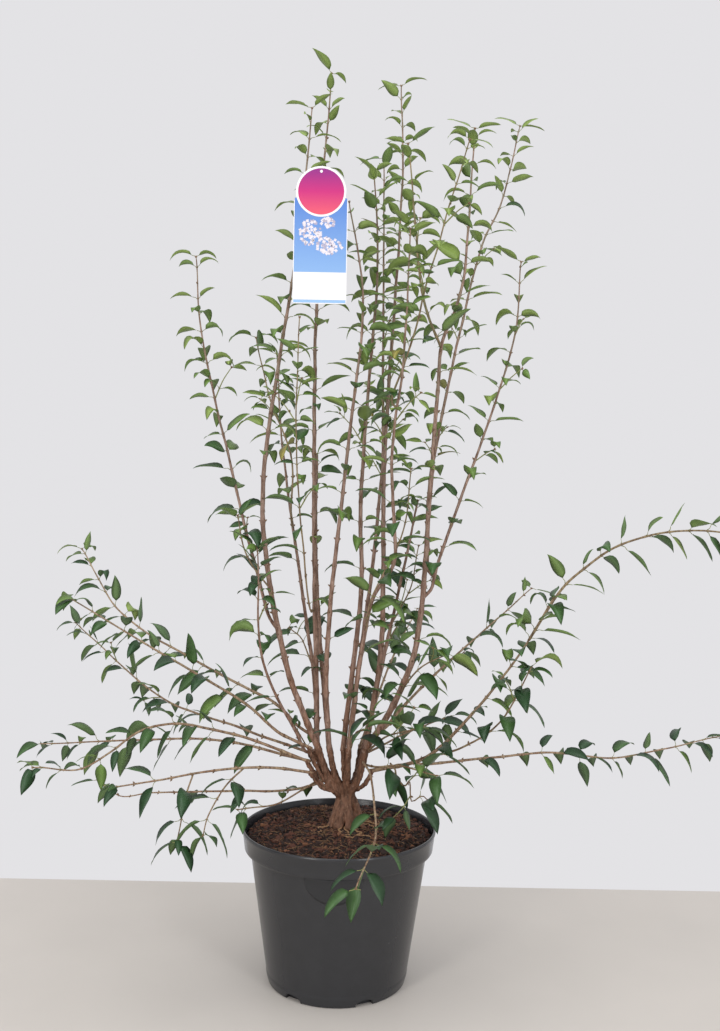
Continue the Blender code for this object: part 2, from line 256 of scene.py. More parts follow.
def bark_material(name, low, middle, high, speck):
    """Bark that changes colour with height, with lighter patches, dark upright streaks and pale specks."""
    r = Recipe(name)
    stops = ((0, linear(low)), (0.45, linear(middle)), (1, linear(high)))
    base = r.ramp(r.height(BARK_LOW, BARK_HIGH), stops)
    streaks = r.noise(260, 5, (1, 1, 0.18))
    patches = r.range(r.noise(60, 4, (1, 1, 0.4)), 0.35, 0.65, 0, 1)
    varied = r.mix(patches, base, shade(middle, 1.5))
    shaded = r.mix(r.range(streaks, 0.42, 0.66, 0, 0.85), varied, shade(low, 0.38))
    dots = r.range(r.cells(420, (1, 1, 0.5)), 0.12, 0.2, 0.75, 0)
    r.colour(r.mix(dots, shaded, linear(speck)))
    r.rough(streaks, 0.55, 0.85)
    r.bump(streaks, 0.0006)
    return r.material


def leaf_material(name, colour, roughness):
    """A nearly plain colour, so that it stays true wherever the leaf lies, with a faint uneven surface."""
    r = Recipe(name, roughness)
    blotches = r.noise(38, 3)
    r.colour(r.mix(r.range(blotches, 0.35, 0.65, 0, 1), shade(colour, 0.86), shade(colour, 1.15)))
    r.bump(r.noise(300, 2), 0.00008)
    return r.material


def plain_grain(name, colour, roughness, scale, depth, contrast=0.25):
    """One colour with a fine grain in its shade, its gloss and its surface."""
    r = Recipe(name, roughness)
    grain = r.noise(scale, 5)
    dark, light = shade(colour, 1 - contrast), shade(colour, 1 + contrast)
    r.colour(r.mix(r.range(grain, 0.3, 0.7, 0, 1), dark, light))
    r.rough(grain, max(0, roughness - 0.08), min(1, roughness + 0.08))
    r.bump(grain, depth)
    return r.material


# Meshes


class Heap:
    """Gathers the faces of many small shapes into one mesh."""

    def __init__(self):
        self.points = []
        self.faces = []
        self.marks = []

    def add(self, points, faces, marks=None):
        """Marks say which of the piece's materials each face takes: the first one if they are left out."""
        base = len(self.points)
        self.points.extend(points)
        self.faces.extend(tuple(base + i for i in face) for face in faces)
        self.marks.extend(marks or [0] * len(faces))

    def piece(self, name, slot, *materials, smooth=True):
        mesh = bpy.data.meshes.new(name)
        mesh.from_pydata(self.points, [], self.faces)
        mesh.update()
        for material in materials:
            mesh.materials.append(material)
        mesh.polygons.foreach_set("material_index", self.marks)
        if smooth:
            mesh.shade_smooth()
        return place(bpy.data.objects.new(name, mesh), slot)


def show(thing):
    bpy.context.scene.collection.objects.link(thing)
    return thing


def place(thing, slot):
    show(thing)
    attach(thing, BODY)
    return thing


def apply_modifiers(thing):
    """Gives a thing the mesh that its modifiers make, and removes them and their cutters."""
    bpy.context.view_layer.update()
    evaluated = thing.evaluated_get(bpy.context.evaluated_depsgraph_get())
    mesh = bpy.data.meshes.new_from_object(evaluated)
    cutters = [m.object for m in thing.modifiers if m.type == "BOOLEAN"]
    thing.modifiers.clear()
    thing.data = mesh
    for cutter in cutters:
        bpy.data.objects.remove(cutter)


def clean(thing, gap, thickness=0.0):
    """Joins points that are closer than a gap, thickens the surface if asked, and turns its faces out."""
    bm = bmesh.new()
    bm.from_mesh(thing.data)
    bmesh.ops.remove_doubles(bm, verts=bm.verts, dist=gap)
    if thickness:
        bmesh.ops.solidify(bm, geom=bm.faces[:], thickness=thickness)
    bmesh.ops.recalc_face_normals(bm, faces=bm.faces)
    bm.to_mesh(thing.data)
    bm.free()


def polar(reach, turn, z=0.0):
    return Vector((reach * math.cos(turn), reach * math.sin(turn), z))


def arc(x, z, radius, start, span, steps):
    """Flat points on an arc, from its start angle on."""
    turns = [start + span * i / steps for i in range(steps + 1)]
    return [(x + radius * math.cos(a), z + radius * math.sin(a)) for a in turns]


def ring_faces(rings, sides):
    """The faces between closed rings of points that follow one another."""
    faces = []
    for i in range(rings - 1):
        low, high = i * sides, (i + 1) * sides
        for k in range(sides):
            j = (k + 1) % sides
            faces.append((low + k, low + j, high + j, high + k))
    return faces


def square_to(ahead):
    """Two directions square to a given one and to each other."""
    side = ahead.cross(UP if abs(ahead.z) < 0.9 else Vector((0, -1, 0))).normalized()
    return side, side.cross(ahead)


def add_tube(heap, points, radii, sides, relief=0.0, seed=0.0):
    """A tube whose rings follow its route without twisting, closed by a short cone at each end."""
    side = square_to((points[1] - points[0]).normalized())[0]
    rings = []
    for i, (spot, radius) in enumerate(zip(points, radii)):
        ahead = (points[min(i + 1, len(points) - 1)] - points[max(i - 1, 0)]).normalized()
        side = (side - ahead * side.dot(ahead)).normalized()
        other = ahead.cross(side)
        ring = []
        for k in range(sides):
            a = TURN * k / sides
            out = side * math.cos(a) + other * math.sin(a)
            swell = 1.0
            if relief:
                sample = (spot + out * RELIEF_SPREAD) * RELIEF_SCALE + Vector((seed, 0, 0))
                swell += relief * noise.noise(sample)
            ring.append(spot + out * (radius * swell))
        rings.append(ring)
    faces = ring_faces(len(rings), sides)
    count = len(rings) * sides
    everything = [p for ring in rings for p in ring]
    everything.append(points[0] - (points[1] - points[0]).normalized() * radii[0] * 0.5)
    everything.append(points[-1] + (points[-1] - points[-2]).normalized() * radii[-1])
    for k in range(sides):
        j = (k + 1) % sides
        faces.append((j, k, count))
        faces.append((count - sides + k, count - sides + j, count + 1))
    heap.add(everything, faces)


# Routes


def middle_line(node, sides):
    """Ring centres and mean radii along a lofted CAD limb or mass, from its foot on."""
    spots = {}
    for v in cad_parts[node].data.vertices:
        spots[tuple(round(c, 5) for c in v.co)] = v.co.copy()
    spots = list(spots.values())
    nearest = sorted(spots, key=lambda p: (p - HEART).length)[:sides]
    foot = sum(nearest, Vector()) / sides
    tip = max(spots, key=lambda p: (p - foot).length)
    along = (tip - foot).normalized()
    ordered = sorted(spots, key=lambda p: (p - foot).dot(along))
    line = []
    for i in range(0, len(ordered), sides):
        ring = ordered[i : i + sides]
        centre = sum(ring, Vector()) / len(ring)
        line.append((centre, sum((p - centre).length for p in ring) / len(ring)))
    return line


def centres(line):
    return [spot for spot, _ in line]


def smooth_route(points, step):
    """Points a step apart on a smooth curve through the given ones."""
    knots = [2 * points[0] - points[1], *points, 2 * points[-1] - points[-2]]
    fine = []
    for i in range(len(points) - 1):
        a, b, c, d = knots[i : i + 4]
        for n in range(ROUTE_STEPS):
            t = n / ROUTE_STEPS
            curve = (2 * a - 5 * b + 4 * c - d) * t**2 + (3 * b - a - 3 * c + d) * t**3
            fine.append(b + 0.5 * ((c - a) * t + curve))
    fine.append(points[-1].copy())
    run = [0.0]
    for a, b in zip(fine, fine[1:]):
        run.append(run[-1] + (b - a).length)
    count = max(3, round(run[-1] / step) + 1)
    route = []
    i = 0
    for k in range(count):
        want = run[-1] * k / (count - 1)
        while i < len(run) - 2 and run[i + 1] < want:
            i += 1
        share = (want - run[i]) / max(1e-9, run[i + 1] - run[i])
        route.append(fine[i].lerp(fine[i + 1], min(1, share)))
    return route


def length_of(points):
    return sum((b - a).length for a, b in zip(points, points[1:]))


class Axis:
    """A growing axis: its route, its length, its radii and where along it leaves begin."""

    def __init__(self, points, foot_radius, leafy_from, rng, tip_radius=TIP_RADIUS, wobble=WOBBLE):
        self.route = smooth_route(points, BARK_STEP)
        self.length = BARK_STEP * (len(self.route) - 1)
        self.foot_radius = foot_radius
        self.tip_radius = tip_radius
        self.leafy_from = leafy_from
        self.seed = rng.uniform(0, 100)
        self.nodes = []
        for i, spot in enumerate(self.route):
            s = i * BARK_STEP
            shift = noise.noise_vector(Vector((s * WOBBLE_PITCH, self.seed, 0)))
            self.route[i] = spot + shift * (wobble * min(1, s / WOBBLE_FADE))

    def at(self, s):
        """The point at a distance from the foot, and the direction there."""
        i = max(0, min(len(self.route) - 2, int(s / BARK_STEP)))
        share = min(1, max(0, s / BARK_STEP - i))
        ahead = (self.route[min(i + 2, len(self.route) - 1)] - self.route[max(0, i - 1)]).normalized()
        return self.route[i].lerp(self.route[i + 1], share), ahead

    def radius(self, s):
        share = min(1, s / self.length)
        radius = self.tip_radius + (self.foot_radius - self.tip_radius) * (1 - share) ** TAPER
        for node in self.nodes:
            radius += NODE_SWELL * radius * math.exp(-(((s - node) / NODE_REACH) ** 2))
        return radius

    def build(self, heap):
        radii = [self.radius(i * BARK_STEP) for i in range(len(self.route))]
        sides = BARK_SIDES if self.foot_radius > THIN_RADIUS else THIN_SIDES
        add_tube(heap, self.route, radii, sides, BARK_RELIEF, self.seed)


# Leaves


class Foliage:
    """Leaves, their stalks and buds, gathered by tint."""

    def __init__(self, tints):
        self.heaps = {tint: Heap() for tint in tints}
        self.stalks = Heap()
        self.buds = Heap()

    def leaf(self, base, start, ahead, length, droop, tint, rng):
        """One leaf: a short stalk, then a folded blade that arches from its start direction downwards."""
        if near_tag(base + start * length * 0.6):
            return
        end = (start * (1 - droop) - UP * droop + ahead * 0.15).normalized()
        side = self.blade_side(start, end, ahead)
        side = (Matrix.Rotation(rng.gauss(0, 0.35), 3, start) @ side).normalized()
        stalk = PETIOLE * length / LEAF_LENGTH * rng.uniform(0.8, 1.3)
        stalk_end = base + start * stalk
        bend = base + (start + ahead * 0.5).normalized() * (stalk * 0.45)
        add_tube(self.stalks, [base, bend, stalk_end], PETIOLE_RADII, 4)
        half = length * LEAF_RATIO * rng.uniform(0.88, 1.12) / 2
        fold = rng.uniform(0.15, 0.5)
        curl = rng.uniform(0.3, 1.4)
        wave = rng.uniform(0, 6.28)
        spot = stalk_end
        middles, edges_a, edges_b, normals = [], [], [], []
        for i in range(LEAF_STEPS + 1):
            t = i / LEAF_STEPS
            way = start.lerp(end, t**1.1).normalized()
            if t > TIP_BEND:
                way = (way - UP * (t - TIP_BEND) * curl).normalized()
            if i:
                spot = spot + way * (length / LEAF_STEPS)
            across = (side - way * side.dot(way)).normalized()
            up = across.cross(way)
            wide = half * t**0.6 * (1 - t) ** 1.1 / LEAF_FULLNESS
            angle = fold * (1 - 0.5 * t)
            ripple = RIPPLE * half * math.sin(wave + 9 * t)
            rise = up * (wide * math.sin(angle))
            middles.append(spot)
            normals.append(up)
            edges_a.append(spot + across * (wide * math.cos(angle)) + rise + up * ripple)
            edges_b.append(spot - across * (wide * math.cos(angle)) + rise - up * ripple)
        if all(inside_limits(p) for p in (*middles, *edges_a, *edges_b)):
            self.blade(self.heaps[tint], middles, edges_a, edges_b, normals)

    @staticmethod
    def blade_side(start, end, ahead):
        """The direction across a blade, chosen so that its upper face looks up or along the stem."""
        side = start.cross(end)
        if side.length < 0.05:
            side = start.cross(ahead)
        if side.length < 0.05:
            side = square_to(start)[0]
        side.normalize()
        return -side if side.cross(start).dot(UP * 0.7 + ahead * 0.5) < 0 else side

    @staticmethod
    def blade(heap, middles, edges_a, edges_b, normals):
        """A closed thin blade. Its upper faces take the first material and its under faces the second."""
        last = LEAF_STEPS
        unders = [m - n * LEAF_THICK for m, n in zip(middles[1:last], normals[1:last])]
        points = middles + edges_a[1:last] + edges_b[1:last] + unders

        def at(layer, i):
            """A point's number. Layer 0 is the middle line, and the others share its two ends."""
            return last + i + (layer - 1) * (last - 1) if layer and 0 < i < last else i

        uppers, lowers = [], []
        for i in range(last):
            j = i + 1
            uppers.append((at(0, i), at(1, i), at(1, j), at(0, j)))
            uppers.append((at(0, i), at(0, j), at(2, j), at(2, i)))
            lowers.append((at(3, i), at(3, j), at(1, j), at(1, i)))
            lowers.append((at(3, i), at(2, i), at(2, j), at(3, j)))
        faces = [tuple(dict.fromkeys(face)) for face in uppers + lowers]
        heap.add(points, faces, [0] * len(uppers) + [1] * len(lowers))

    def bud(self, base, out, ahead, size):
        way = (out * 0.75 + ahead * 0.65).normalized()
        points = [base, base + way * size * 0.5, base + way * size]
        add_tube(self.buds, points, [size * share for share in BUD_SHAPE], 5)


def inside_limits(spot):
    """Whether a leaf's point stays within what may stand proud of the CAD model's box."""
    low, high = CAD_BOX
    return all(low[i] - PROUD[i] < spot[i] < high[i] + PROUD[i] for i in range(3))


def near_tag(spot):
    """Whether a leaf's middle lies in the card's way."""
    beside = abs(spot.x - TAG_X) < TAG_HALF + 0.0208
    before = spot.y < TAG_FRONT + 0.03
    return beside and before and TAG_LOW - 0.03 < spot.z < HEAD_Z + 0.06


def pick_tint(spot, rng, lean=0.0):
    """Lower and inner leaves are darker and high ones lighter, as painted shade and painted light; the random
    spread and the few yellowed leaves are the leaves' own colour.
    """
    light = (spot.z - 0.45) / 0.9 + lean + rng.gauss(0, 0.26)
    if rng.random() < YELLOW_SHARE:
        return "yellow"
    for step, tint in TINT_STEPS:
        if light > step:
            return tint
    return "deep"


def grow(axis, foliage, rng, bare_chance=BARE_CHANCE, size=1.0, shoots=SHOOT_CHANCE, lean=0.0, start_s=0.05):
    """Puts pairs of leaves on an axis, each pair turned square to the last, and buds where none grows."""
    turn = rng.uniform(0, math.pi)
    s = start_s
    while s < axis.length - END_GAP:
        axis.nodes.append(s)
        share = s / axis.length
        spot, ahead = axis.at(s)
        side, other = square_to(ahead)
        flat = abs(ahead.z) < FLAT_BELOW
        if flat:
            turn = 0.25 if len(axis.nodes) % 2 else math.pi / 2 + 0.1
            turn += rng.gauss(0, 0.3)
        leafy = s > axis.leafy_from
        edge = s > axis.leafy_from - EDGE_REACH
        chance = LEAFY_CHANCE if leafy else (EDGE_CHANCE if edge else bare_chance)
        tip = max(0.0, (share - (1 - TIP_SHARE)) / TIP_SHARE)
        for flip in (0, math.pi):
            a = turn + flip + rng.gauss(0, 0.2)
            out = side * math.cos(a) + other * math.sin(a)
            base = spot + out * axis.radius(s) * 0.8
            if rng.random() >= chance:
                foliage.bud(base, out, ahead, rng.uniform(0.0025, 0.005))
            elif leafy and tip == 0 and rng.random() < shoots:
                grow_shoot(base, out, ahead, foliage, rng, size, lean)
            else:
                spread = rng.uniform(0.8, 1.15) * (1 - 0.45 * tip)
                start = (out * spread + ahead * rng.uniform(0.35, 0.8)).normalized()
                droop = pick_droop(out, flat, tip, rng)
                length = LEAF_LENGTH * size * rng.uniform(0.68, 1.22) * (1 - 0.3 * tip)
                foliage.leaf(base, start, ahead, length, droop, pick_tint(spot, rng, lean), rng)
        turn += math.pi / 2
        s += NODE_GAP * rng.uniform(0.85, 1.15) * (1 - 0.45 * share) * (0.7 + 0.3 * size)
    grow_end(axis, foliage, rng, size)


def pick_droop(out, flat, tip, rng):
    """How far a leaf hangs, from 0 to 1: less on top of a flat limb and near a tip."""
    if flat and out.z > 0.5:
        return rng.uniform(0.15, 0.6)
    if flat:
        return rng.uniform(0.45, 0.85)
    return rng.uniform(0.35, 0.85) * (1 - 0.25 * tip)


def grow_end(axis, foliage, rng, size):
    """The pair of leaves at an axis's tip, with the buds between them."""
    spot, ahead = axis.at(axis.length)
    side, other = square_to(ahead)
    turn = rng.uniform(-0.6, 0.6) if rng.random() < 0.7 else rng.uniform(0, math.pi)
    for flip in (0, math.pi):
        out = side * math.cos(turn + flip) + other * math.sin(turn + flip)
        start = (ahead * rng.uniform(0.3, 0.9) + out).normalized()
        length = LEAF_LENGTH * size * rng.uniform(0.6, 1.0)
        # End leaves are pushed towards the lighter tints: painted light.
        foliage.leaf(spot, start, ahead, length, rng.uniform(0.3, 0.75), pick_tint(spot, rng, 0.2), rng)
        foliage.bud(spot, out * 0.4, ahead, 0.004)


def grow_shoot(base, out, ahead, foliage, rng, size, lean):
    """A short side twig with a few pairs of smaller leaves."""
    length = rng.uniform(0.025, 0.06)
    way = (out * 0.8 + ahead * 0.8).normalized()
    tip = base + way * length + UP * (0.15 * length)
    middle = base.lerp(tip, 0.5) + ahead * (0.08 * length)
    axis = Axis([base, middle, tip], 0.0011, 0.01, rng, tip_radius=0.0007, wobble=0.0004)
    grow(axis, foliage, rng, size=size * 0.72, shoots=0, lean=lean, start_s=0.016)
    axis.build(foliage.stalks)


# Plant

# Twigs that have no solid of their own: foot radius in mm, share that is bare, leaf size, route in cm
TWIGS = (
    ("behind_tag_left", 1.7, 0.35, 0.9,
     ((-5.6, -1.2, 62), (-7.4, -5.0, 80), (-7.8, -8.0, 94), (-7.4, -9.4, 107))),
    ("left_fork_outer", 1.7, 0.30, 0.9,
     ((-9.2, 6.0, 76), (-9.4, 4.6, 86), (-13.2, 5.2, 96), (-15.6, 6.0, 106))),
    ("right_rising", 1.9, 0.20, 0.85,
     ((7.2, -9.8, 95), (9.9, -12.2, 103), (13.6, -16.3, 118), (17.4, -20.0, 131))),
    ("front_low", 1.9, 0.25, 1.15,
     ((4.0, -2.4, 35.8), (6.0, -6.3, 36.4), (9.8, -10.1, 37.6), (14.6, -15.0, 37.6))),
    ("right_low_arc", 2.0, 0.30, 1.1,
     ((14.7, -2.0, 36.8), (19.7, -5.2, 39.6), (25.1, -9.2, 44.8), (28.7, -15.0, 54))),
    ("right_low_back", 1.9, 0.30, 1.05, ((4.6, 2.0, 36.7), (11.0, 9.0, 38.2), (19.8, 19.0, 39.6))),
    ("left_under_front", 1.6, 0.70, 0.9, ((-4.0, -1.0, 32.4), (-9.5, -7.0, 30.6), (-15.3, -12.6, 31.2))),
    ("left_rising_bare", 1.7, 0.85, 0.8, ((-2.4, -2.0, 31.6), (-5.0, 0.5, 36.4), (-8.7, 2.6, 42.5))),
    ("left_hang_near", 1.5, 0.15, 1.0,
     ((-14.7, -7.5, 36.8), (-17.6, -11.5, 34.2), (-19.4, -15.0, 31.0), (-19.9, -17.0, 28.6))),
    ("left_hang_far", 1.5, 0.20, 1.0, ((-22.3, -11.4, 36.6), (-23.2, -14.2, 33.0), (-23.9, -16.5, 27.5))),
    ("inner_dark_front", 1.9, 0.20, 1.2, ((1.6, -1.9, 37.9), (2.4, -5.6, 41.4), (3.4, -8.6, 42.6))),
    ("inner_dark_right", 1.9, 0.20, 1.2, ((4.6, -1.9, 38.0), (8.0, -6.0, 41.6), (12.6, -9.6, 43.6))),
    ("inner_mid_right", 1.6, 0.10, 1.1, ((8.8, -1.6, 46.6), (12.2, -5.6, 52.0), (16.4, -9.0, 55.0))),
    ("inner_mid_back", 1.6, 0.10, 1.1, ((6.4, 3.8, 50.0), (8.4, 9.4, 55.5), (11.6, 13.6, 59.0))),
    ("inner_back_left", 1.6, 0.10, 1.1, ((-4.8, 2.2, 50.5), (-7.2, 8.4, 54.5), (-9.6, 13.0, 56.0))),
    ("inner_front_high", 1.5, 0.05, 1.0, ((2.6, -3.6, 58.0), (4.6, -8.0, 63.5), (7.0, -10.0, 69.0))),
    ("inner_right_high", 1.5, 0.05, 1.0, ((8.0, 4.8, 57.5), (11.6, 8.4, 64.0), (12.8, 10.0, 71.0))),
    ("inner_left_high", 1.5, 0.05, 0.95, ((-11.9, -2.6, 64.0), (-15.4, -5.2, 69.5), (-16.8, -6.8, 76.0))),
    ("centre_between", 1.5, 0.05, 0.9, ((6.6, 1.9, 66.0), (9.6, -1.6, 74.0), (10.6, -2.8, 84.0))),
)
TWIG_WOBBLE = 0.0022
# Leaves on the twigs that have no solid of their own are pushed towards the darker tints: painted shade.
TWIG_SHADE_LEAN = -0.12

# How likely a bare stretch of a limb is to carry a leaf at a node, where it isn't the usual chance
BARE_CHANCES = {
    "stem_front": 0.22,
    "stem_middle": 0.26,
    "stem_back": 0.30,
    "stem_centre_tall": 0.30,
    "stem_front_right": 0.34,
    "stem_right_thin": 0.45,
    "stem_right_thick": 0.22,
    "side_left_low": 0.16,
    "side_left_bare": 0.06,
    "side_right_low": 0.30,
    "side_right_arc": 0.40,
}


def rooted(spot):
    """Whether a limb's foot stands on the root crown."""
    low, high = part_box("root_crown")
    return all(low[i] - CROWN_MARGIN < spot[i] < high[i] + CROWN_MARGIN for i in range(3))


def join(points, lines, own):
    """Starts a limb or twig inside the limb that carries it: at the nearest point if that is close, or
    else a little lower on the carrier."""
    if rooted(points[0]):
        return
    near = None
    for name, line in lines.items():
        if name == own:
            continue
        for i, spot in enumerate(line):
            gap = (spot - points[0]).length
            if near is None or gap < near[0]:
                near = (gap, spot, line[max(0, i - 2)])
    gap, nearest, lower = near
    if gap < JOIN_AT:
        points[0] = nearest.copy()
    elif gap < JOIN_FROM:
        points.insert(0, lower.copy())


def limb_axes(rng):
    """One axis for each CAD limb, joined to what carries it and run on through its own mass."""
    lines = {name: middle_line(name, LIMB_SIDES) for name in LIMBS}
    carriers = {name: smooth_route(centres(line), BARK_STEP) for name, line in lines.items()}
    axes = {}
    for name, line in lines.items():
        points = centres(line)
        join(points, carriers, name)
        leafy_from = length_of(points) + 0.01
        mass = "leaves_" + name
        tip_radius = TIP_RADIUS
        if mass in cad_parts:
            points += centres(middle_line(mass, MASS_SIDES))[1:]
        else:
            tip_radius = line[-1][1] * 0.8
        axes[name] = Axis(points, line[0][1], leafy_from, rng, tip_radius)
    return axes


def extra_axes(axes, rng):
    """The masses that no limb's own end leads into, the first two joined on to the limb that carries them."""
    fork = centres(middle_line("leaves_fork_left", MASS_SIDES))
    fork_foot = min(axes["stem_right_thick"].route, key=lambda p: (p - fork[0] + UP * 0.035).length)
    outer = centres(middle_line("leaves_arc_outer", MASS_SIDES))
    outer_foot = axes["side_right_arc"].route[-12]
    low = centres(middle_line("leaves_low_right", MASS_SIDES))
    return {
        "leaves_fork_left": Axis([fork_foot, *fork], 0.0022, 0.0, rng),
        "leaves_arc_outer": Axis([outer_foot, *outer], 0.0022, 0.0, rng),
        "leaves_low_right": Axis(low, 0.0014, 0.0, rng),
    }


def build_plant(barks, tints):
    rng = random.Random(PLANT_SEED)
    foliage = Foliage(tints)
    axes = limb_axes(rng)
    extras = extra_axes(axes, rng)
    for name, axis in axes.items():
        size, shoots = (0.95, 0.05) if name.startswith("side_") else (0.92, 0.12)
        grow(axis, foliage, rng, BARE_CHANCES.get(name, BARE_CHANCE), size, shoots)
    for name, axis in extras.items():
        grow(axis, foliage, rng, size=1.15 if name == "leaves_low_right" else 0.95, start_s=0.02)
    for name, axis in axes.items():
        heap = Heap()
        axis.build(heap)
        surface = barks["bark_side"] if name.startswith("side_") else barks["bark_upright"]
        made = heap.piece("bark_" + name, "bark", surface)
        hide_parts(name)
    build_twigs(axes, extras, foliage, rng, barks["bark_twig"])
    masses = [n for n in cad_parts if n.startswith("leaves_")]
    for tint, heap in foliage.heaps.items():
        made = heap.piece("leaves_" + tint + "_tint", "foliage", *tints[tint])
        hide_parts(*masses)
    foliage.stalks.piece("leaf_stalks", "foliage", leaf_material("leaf_stalk_green", (128, 132, 78), 0.5))
    foliage.buds.piece("buds", "bark", plain_grain("bud_brown", (118, 92, 66), 0.6, 400, 0.0002))
    return axes


def build_twigs(axes, extras, foliage, rng, surface):
    """The bark of the extra axes, and the twigs that have no solid of their own, with their leaves."""
    heap = Heap()
    for axis in extras.values():
        axis.build(heap)
    carriers = {name: axis.route for name, axis in (*axes.items(), *extras.items())}
    for name, radius, bare, size, route in TWIGS:
        points = [Vector(p) * CM for p in route]
        join(points, carriers, name)
        axis = Axis(points, radius * MM, bare * length_of(points), rng, wobble=TWIG_WOBBLE)
        grow(axis, foliage, rng, size=size, start_s=0.03, lean=TWIG_SHADE_LEAN)
        axis.build(heap)
    heap.piece("twigs", "bark", surface)


# Root crown

CROWN_X = 0.013
NECK = Vector((0.012, 0, 0.305))
FLARE_TOP = Vector((CROWN_X, 0, 0.277))
FLARE_COUNT = 9
CROWN_HEAD_REACH = 0.075
STRAND_STEP = 0.004
SKIN_VOXEL = 0.0009


def crown_foot(reach, turn):
    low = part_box("root_crown")[0]
    return Vector((CROWN_X + reach * math.cos(turn), reach * math.sin(turn), low.z + 0.001))


def add_strand(heap, axis, rng):
    """A strand from a stem's foot, in through the narrow neck and out to the flared foot."""
    top = axis.route[1]
    drop = top - NECK
    flare_turn = math.atan2(drop.y, drop.x) + rng.uniform(-0.7, 0.7)
    foot = crown_foot(rng.uniform(0.020, 0.030), flare_turn)
    inner = NECK + Vector((drop.x * 0.22, drop.y * 0.35, rng.uniform(-0.004, 0.004)))
    elbow = top.lerp(inner, 0.55) + Vector((drop.x * 0.10, drop.y * 0.1, -0.003))
    waist = inner.lerp(foot, 0.5) - Vector((drop.x, drop.y, 0)) * 0.06
    points = smooth_route([top, elbow, inner, waist, foot], STRAND_STEP)
    start = axis.foot_radius * 1.05
    radii = []
    for i in range(len(points)):
        share = i / (len(points) - 1)
        swell = 0.0024 * math.exp(-(((share - 0.75) / 0.2) ** 2))
        radii.append(start * (1 + 0.1 * share) + swell)
    add_tube(heap, points, radii, 12)


def add_flare(heap, number, rng):
    """A tapering ridge from under the neck out to the soil."""
    turn = TURN * number / FLARE_COUNT + rng.uniform(0, 0.5)
    foot = crown_foot(rng.uniform(0.030, 0.052), turn)
    middle = FLARE_TOP.lerp(foot, 0.55) + Vector((0, 0, -0.004))
    points = smooth_route([FLARE_TOP, middle, foot], STRAND_STEP)
    radii = [0.0095 - 0.0075 * i / (len(points) - 1) for i in range(len(points))]
    add_tube(heap, points, radii, 10)


def build_root_crown(axes, surface):
    """Strands and flares, skinned together, with the bark's ridges and lumps."""
    rng = random.Random(CROWN_SEED)
    heap = Heap()
    for axis in axes.values():
        if (axis.route[0] - HEART).length < CROWN_HEAD_REACH:
            add_strand(heap, axis, rng)
    for number in range(FLARE_COUNT):
        add_flare(heap, number, rng)
    thing = heap.piece("bark_root_crown", "crown_bark", surface)
    skin = thing.modifiers.new("skin", "REMESH")
    skin.mode = "VOXEL"
    skin.voxel_size = SKIN_VOXEL
    soften = thing.modifiers.new("soften", "SMOOTH")
    soften.factor = 0.5
    soften.iterations = 2
    apply_modifiers(thing)
    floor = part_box("root_crown")[0].z
    normals = [v.normal.copy() for v in thing.data.vertices]
    for v, normal in zip(thing.data.vertices, normals):
        spot = v.co
        ridges = noise.noise(Vector((spot.x * 420, spot.y * 420, spot.z * 90)))
        lumps = noise.noise(spot * 130)
        v.co = spot + normal * (0.0014 * ridges + 0.0012 * lumps)
        v.co.z = max(v.co.z, floor)
    thing.data.shade_smooth()
    thing.data.materials.clear()
    thing.data.materials.append(surface)
    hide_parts("root_crown")


# Soil

SOIL_PROFILE = ((0.0, 0.250), (0.052, 0.250), (0.100, 0.2445), (0.151, 0.236))
SOIL_REACH = 0.1500
SOIL_UNDER = 0.222
SOIL_RINGS = 34
SOIL_SPOKES = 150
CHIP_COUNT = 4200
CHIP_REACH = 0.148
CHIP_COLOURS = {"chip_dark": (48, 32, 27), "chip_brown": (86, 52, 40), "chip_tan": (122, 82, 58)}
CHIP_SHARES = (5, 4, 0.8)
CROWN_CLEAR = 0.026
FIBRE_COUNT = 420
FIBRE_REACH = 0.145
FIBRE_RADIUS = 0.00022
ROOTLET_COUNT = 14
ROOTLET_RADIUS = 0.0011


def soil_height(radius):
    """Height of the mound at a distance from the pot's axis, as the CAD soil has it."""
    for (r0, z0), (r1, z1) in zip(SOIL_PROFILE, SOIL_PROFILE[1:]):
        if radius <= r1:
            return z0 + (z1 - z0) * (radius - r0) / (r1 - r0)
    return SOIL_PROFILE[-1][1]


def on_soil(radius, turn, above):
    return polar(radius, turn, soil_height(radius) + above)


def build_soil(bed_surface, chip_surfaces, fibre_surface):
    rng = random.Random(SOIL_SEED)
    build_bed(bed_surface)
    build_chips(chip_surfaces, rng)
    fibres = Heap()
    for _ in range(FIBRE_COUNT):
        add_fibre(fibres, rng)
    for _ in range(ROOTLET_COUNT):
        add_rootlet(fibres, rng)
    fibres.piece("soil_fibres", "potting_soil", fibre_surface)


def build_bed(surface):
    """The uneven mound under the flakes, closed below."""
    points = [Vector((0, 0, soil_height(0)))]
    for i in range(1, SOIL_RINGS + 1):
        r = SOIL_REACH * i / SOIL_RINGS
        for k in range(SOIL_SPOKES):
            a = TURN * k / SOIL_SPOKES
            lump = noise.fractal(polar(r, a) * 85, 0.6, 2.0, 4)
            points.append(on_soil(r, a, 0.0028 * lump))
    faces = [(0, 1 + k, 1 + (k + 1) % SOIL_SPOKES) for k in range(SOIL_SPOKES)]
    for i in range(SOIL_RINGS - 1):
        for k in range(SOIL_SPOKES):
            j = (k + 1) % SOIL_SPOKES
            a, b = 1 + i * SOIL_SPOKES, 1 + (i + 1) * SOIL_SPOKES
            faces.append((a + k, b + k, b + j, a + j))
    under = len(points)
    for k in range(SOIL_SPOKES):
        points.append(polar(SOIL_REACH, TURN * k / SOIL_SPOKES, SOIL_UNDER))
    points.append(Vector((0, 0, SOIL_UNDER)))
    edge = 1 + (SOIL_RINGS - 1) * SOIL_SPOKES
    for k in range(SOIL_SPOKES):
        j = (k + 1) % SOIL_SPOKES
        faces.append((edge + k, under + k, under + j, edge + j))
        faces.append((under + j, under + k, len(points) - 1))
    heap = Heap()
    heap.add(points, faces)
    bed = heap.piece("soil_bed", "potting_soil", surface)
    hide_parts("soil")


